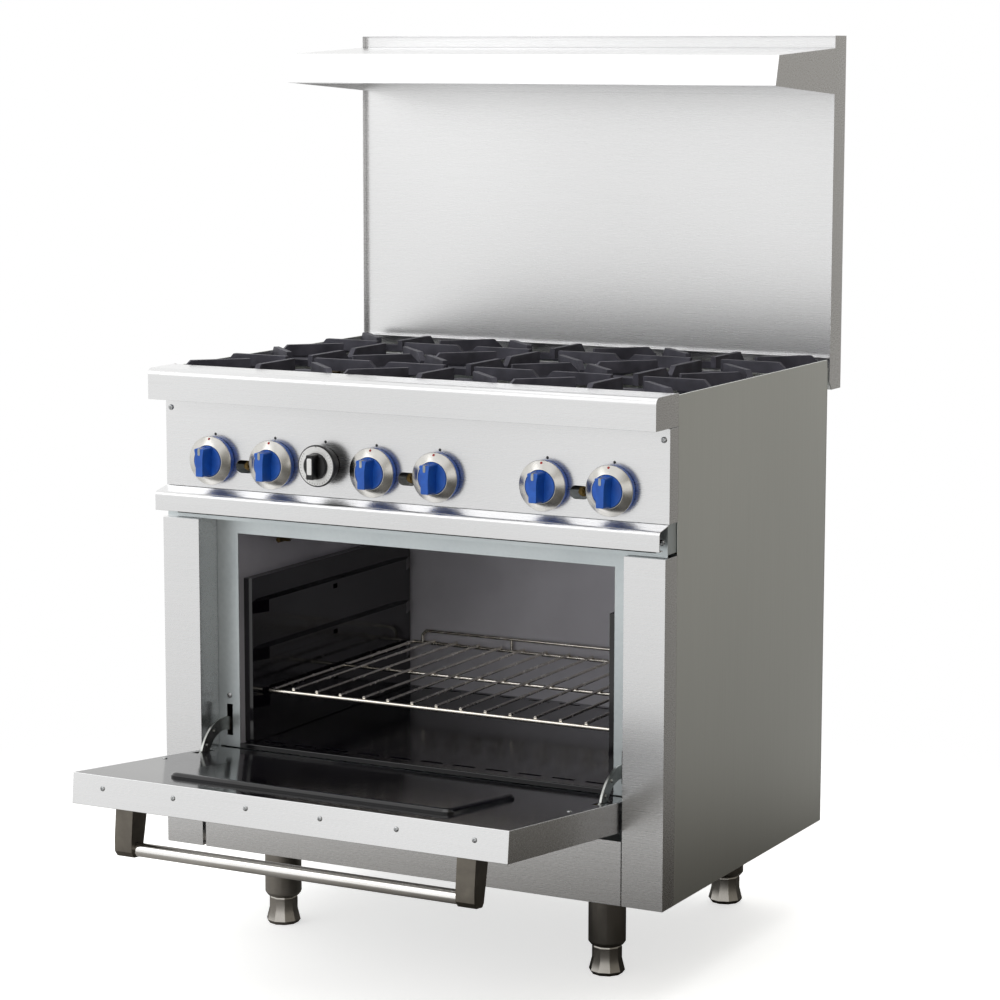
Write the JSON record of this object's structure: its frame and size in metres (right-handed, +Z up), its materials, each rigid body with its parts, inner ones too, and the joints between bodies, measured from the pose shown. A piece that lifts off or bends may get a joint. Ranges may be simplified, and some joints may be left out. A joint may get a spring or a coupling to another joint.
{
  "type": "commercial gas range",
  "caption": "Floor-standing restaurant gas range: cast-iron top grates over open burners, row of control knobs, drop-down oven door, wire rack, tall riser with shelf, levelling legs.",
  "frame": {"origin": "bottom centre of the bounding box, on the floor, with the oven door down", "axes": "+X to the right as the cook faces the range, +Y to the back, +Z up"},
  "size_m": [0.9144, 1.074, 1.489],
  "materials": {
    "stainless": "brushed",
    "side_steel": "brushed",
    "galvanised": "satin",
    "black_enamel": "gloss enamel",
    "liner_enamel": "gloss enamel",
    "chrome_wire": "polished",
    "mineral_wool": "fibrous",
    "cast_iron": "rough",
    "black_pipe": "dull",
    "brass": "machined",
    "polished_steel": "polished",
    "cast_handle": "satin",
    "hinge_steel": "bright",
    "screw_steel": "bright",
    "blue_plastic": "semi-gloss",
    "satin_bezel": "satin turned",
    "black_plastic": "semi-gloss",
    "dial_ring": "satin"
  },
  "bodies": {
    "range_body": {"front_post_left": "stainless", "front_post_right": "stainless", "kick_panel": "stainless", "front_rail": "stainless", "control_panel": "stainless", "riser_shell": "stainless", "riser_front": "stainless", "shelf": "stainless", "grate_rails": "side_steel", "side_panel_left": "side_steel", "side_panel_right": "side_steel", "back_panel": "side_steel", "oven_front_frame": "galvanised", "base_frame": "galvanised", "tray_frame": "galvanised", "flue_duct": "galvanised", "oven_floor": "black_enamel", "rack_guides": "black_enamel", "oven_liner": "liner_enamel", "insulation": "mineral_wool", "oven_burner": "cast_iron", "top_burners": "cast_iron", "gas_manifold": "black_pipe", "burner_valves": "brass", "gas_tubing": "brass", "legs": "polished_steel", "panel_screws": "screw_steel"},
    "oven_door": {"door_outer": "stainless", "door_liner": "black_enamel", "door_insulation": "mineral_wool", "handle_bar": "polished_steel", "handle_brackets": "cast_handle", "hinge_arms": "hinge_steel", "door_screws": "screw_steel"},
    "oven_rack": {"oven_rack": "chrome_wire"},
    "crumb_tray": {"crumb_tray": "stainless"},
    "burner_knob_1": {"knob_1": "blue_plastic", "knob_bezel_1": "satin_bezel"},
    "burner_knob_2": {"knob_2": "blue_plastic", "knob_bezel_2": "satin_bezel"},
    "burner_knob_3": {"knob_3": "blue_plastic", "knob_bezel_3": "satin_bezel"},
    "burner_knob_4": {"knob_4": "blue_plastic", "knob_bezel_4": "satin_bezel"},
    "burner_knob_5": {"knob_5": "blue_plastic", "knob_bezel_5": "satin_bezel"},
    "burner_knob_6": {"knob_6": "blue_plastic", "knob_bezel_6": "satin_bezel"},
    "oven_thermostat": {"thermostat_knob": "black_plastic", "thermostat_dial": "dial_ring"},
    "top_grate_1": {"grate_1": "cast_iron"},
    "top_grate_2": {"grate_2": "cast_iron"},
    "top_grate_3": {"grate_3": "cast_iron"},
    "top_grate_4": {"grate_4": "cast_iron"},
    "top_grate_5": {"grate_5": "cast_iron"},
    "top_grate_6": {"grate_6": "cast_iron"},
    "levelling_foot_1": {"foot_1": "polished_steel"},
    "levelling_foot_2": {"foot_2": "polished_steel"},
    "levelling_foot_3": {"foot_3": "polished_steel"},
    "levelling_foot_4": {"foot_4": "polished_steel"}
  },
  "joints": [
    {"name": "door_hinge", "type": "hinge", "parent": "range_body", "child": "oven_door", "pos_m": [0, -0.13403, 0.293], "axis": [1, 0, 0], "range_deg": [-84, 0]},
    {"name": "rack_slide", "type": "slide", "parent": "range_body", "child": "oven_rack", "axis": [0, -1, 0], "range_m": [0, 0.35]},
    {"name": "tray_slide", "type": "slide", "parent": "range_body", "child": "crumb_tray", "axis": [0, -1, 0], "range_m": [0, 0.45]},
    {"name": "knob_1_turn", "type": "hinge", "parent": "range_body", "child": "burner_knob_1", "pos_m": [-0.3623, -0.15403, 0.8], "axis": [0, -1, 0], "range_deg": [0, 90]},
    {"name": "knob_2_turn", "type": "hinge", "parent": "range_body", "child": "burner_knob_2", "pos_m": [-0.2473, -0.15403, 0.8], "axis": [0, -1, 0], "range_deg": [0, 90]},
    {"name": "knob_3_turn", "type": "hinge", "parent": "range_body", "child": "burner_knob_3", "pos_m": [-0.0575, -0.15403, 0.8], "axis": [0, -1, 0], "range_deg": [0, 90]},
    {"name": "knob_4_turn", "type": "hinge", "parent": "range_body", "child": "burner_knob_4", "pos_m": [0.0575, -0.15403, 0.8], "axis": [0, -1, 0], "range_deg": [0, 90]},
    {"name": "knob_5_turn", "type": "hinge", "parent": "range_body", "child": "burner_knob_5", "pos_m": [0.2473, -0.15403, 0.8], "axis": [0, -1, 0], "range_deg": [0, 90]},
    {"name": "knob_6_turn", "type": "hinge", "parent": "range_body", "child": "burner_knob_6", "pos_m": [0.3623, -0.15403, 0.8], "axis": [0, -1, 0], "range_deg": [0, 90]},
    {"name": "thermostat_turn", "type": "hinge", "parent": "range_body", "child": "oven_thermostat", "pos_m": [-0.1524, -0.15403, 0.806], "axis": [0, -1, 0], "range_deg": [0, 270]},
    {"name": "grate_1_lift", "type": "slide", "parent": "range_body", "child": "top_grate_1", "axis": [0, 0, 1], "range_m": [0, 0.12]},
    {"name": "grate_2_lift", "type": "slide", "parent": "range_body", "child": "top_grate_2", "axis": [0, 0, 1], "range_m": [0, 0.12]},
    {"name": "grate_3_lift", "type": "slide", "parent": "range_body", "child": "top_grate_3", "axis": [0, 0, 1], "range_m": [0, 0.12]},
    {"name": "grate_4_lift", "type": "slide", "parent": "range_body", "child": "top_grate_4", "axis": [0, 0, 1], "range_m": [0, 0.12]},
    {"name": "grate_5_lift", "type": "slide", "parent": "range_body", "child": "top_grate_5", "axis": [0, 0, 1], "range_m": [0, 0.12]},
    {"name": "grate_6_lift", "type": "slide", "parent": "range_body", "child": "top_grate_6", "axis": [0, 0, 1], "range_m": [0, 0.12]},
    {"name": "foot_1_turn", "type": "hinge", "parent": "range_body", "child": "levelling_foot_1", "pos_m": [-0.305, -0.04703, 0.03], "axis": [0, 0, 1], "continuous": true},
    {"name": "foot_2_turn", "type": "hinge", "parent": "range_body", "child": "levelling_foot_2", "pos_m": [0.305, -0.04703, 0.03], "axis": [0, 0, 1], "continuous": true},
    {"name": "foot_3_turn", "type": "hinge", "parent": "range_body", "child": "levelling_foot_3", "pos_m": [-0.305, 0.42297, 0.03], "axis": [0, 0, 1], "continuous": true},
    {"name": "foot_4_turn", "type": "hinge", "parent": "range_body", "child": "levelling_foot_4", "pos_m": [0.305, 0.42297, 0.03], "axis": [0, 0, 1], "continuous": true}
  ]
}
